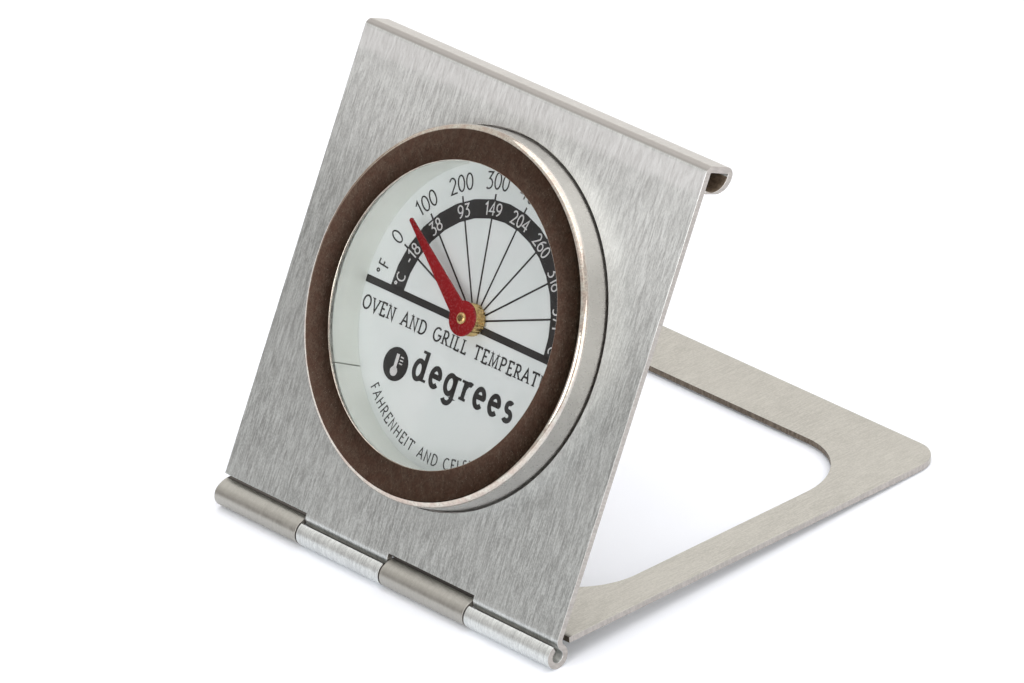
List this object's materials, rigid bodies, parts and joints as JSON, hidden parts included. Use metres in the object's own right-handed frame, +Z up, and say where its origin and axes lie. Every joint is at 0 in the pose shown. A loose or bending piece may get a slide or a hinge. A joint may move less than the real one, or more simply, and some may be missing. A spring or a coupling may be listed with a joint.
{
  "type": "oven thermometer",
  "caption": "Folding oven thermometer: a round bimetal dial in a brushed steel plate, hinged to an open rectangular stand.",
  "frame": {"origin": "on the surface it stands on, under the middle of the bounding box", "axes": "+X along the hinge to the right of someone facing the dial, +Y to the back, +Z up"},
  "size_m": [0.075, 0.082, 0.0682],
  "materials": {
    "stand_steel": "fine brushed, grain front to back",
    "plate_steel": "fine brushed, grain up the plate",
    "pin_steel": "plain drawn wire",
    "bezel_chrome": "polished face, satin wall",
    "case_steel": "plain sheet",
    "gasket_rubber": "matt",
    "lens_glass": "clear",
    "spacer_paint": "satin pale grey",
    "dial_paint": "satin white, printed black",
    "pointer_paint": "gloss red",
    "brass": "turned",
    "bimetal": "rolled strip",
    "rivet_aluminium": "plain"
  },
  "bodies": {
    "panel": {"front_plate": "plate_steel", "hinge_pin": "pin_steel", "bezel_shell": "bezel_chrome", "lens_gasket": "gasket_rubber", "lens": "lens_glass", "spacer_ring": "spacer_paint", "dial_plate": "dial_paint", "case_back": "case_steel", "mounting_ring": "case_steel", "movement_bridge": "case_steel", "front_bearing": "brass", "rear_bearing": "brass", "bridge_rivets": "rivet_aluminium", "anchor_post": "case_steel", "bimetal_coil": "bimetal"},
    "stand": {"stand_frame": "stand_steel"},
    "needle": {"pointer": "pointer_paint", "pointer_hub": "brass", "pointer_shaft": "brass", "coil_collet": "brass"}
  },
  "joints": [
    {"name": "stand_fold", "type": "hinge", "parent": "panel", "child": "stand", "pos_m": [0, -0.03901, 0.002], "axis": [-1, 0, 0], "range_deg": [0, 297]},
    {"name": "pointer_sweep", "type": "hinge", "parent": "panel", "child": "needle", "pos_m": [0, -0.02, 0.03744], "axis": [0, 0.8682, -0.4962], "range_deg": [-14, 127.75], "stiffness_Nm_per_rad": 0.002, "deforming": ["bimetal_coil"]}
  ]
}
